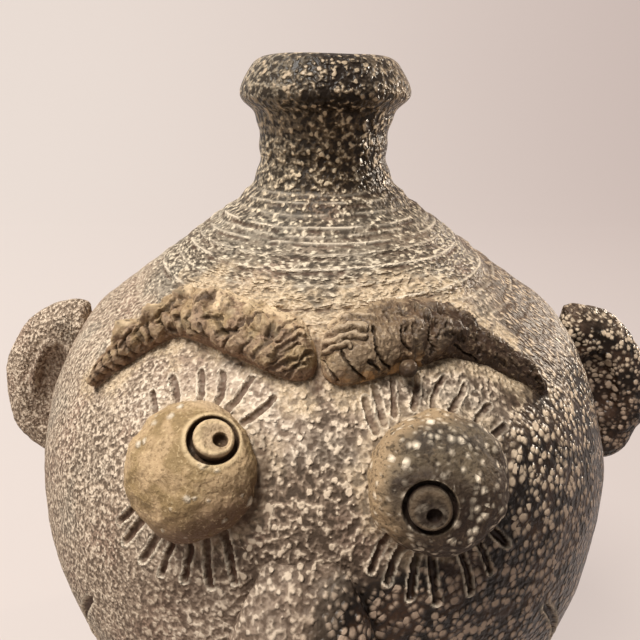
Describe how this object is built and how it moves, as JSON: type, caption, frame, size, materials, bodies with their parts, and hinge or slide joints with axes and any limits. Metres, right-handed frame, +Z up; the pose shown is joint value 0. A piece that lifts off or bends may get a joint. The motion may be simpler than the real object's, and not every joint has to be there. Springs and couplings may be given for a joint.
{
  "type": "face jug",
  "caption": "Salt-glazed stoneware jug with a narrow waisted neck, a rolled collar, a strap handle and a grotesque folk face of applied clay, for holding and pouring liquid.",
  "frame": {"origin": "centre of the flat base, on the floor", "axes": "+Z up the jug to its mouth, -Y the way the face looks, +X to the viewer's right"},
  "size_m": [0.2554, 0.2358, 0.274],
  "materials": {
    "pot_glaze": "salt glaze, cream beads over grey-brown",
    "brow_glaze": "salt glaze, tan, half matt",
    "left_eye_glaze": "ochre slip, matt",
    "right_eye_glaze": "dark slip with pale specks, half matt",
    "tooth_glaze": "pale clay, clear salt glaze"
  },
  "bodies": {
    "root": {"jug_body": "pot_glaze", "left_brow": "brow_glaze", "right_brow": "brow_glaze", "brow_bead": "brow_glaze", "left_eyeball": "left_eye_glaze", "left_iris": "left_eye_glaze", "right_eyeball": "right_eye_glaze", "right_iris": "right_eye_glaze", "nose": "pot_glaze", "upper_lip": "pot_glaze", "lower_lip": "pot_glaze", "upper_tooth_1": "tooth_glaze", "upper_tooth_2": "tooth_glaze", "upper_tooth_3": "tooth_glaze", "upper_tooth_4": "tooth_glaze", "upper_tooth_5": "tooth_glaze", "upper_tooth_6": "tooth_glaze", "lower_tooth_1": "tooth_glaze", "lower_tooth_2": "tooth_glaze", "lower_tooth_3": "tooth_glaze", "lower_tooth_4": "tooth_glaze", "lower_tooth_5": "tooth_glaze", "lower_tooth_6": "tooth_glaze", "left_ear": "pot_glaze", "right_ear": "pot_glaze", "handle": "pot_glaze"}
  },
  "joints": []
}
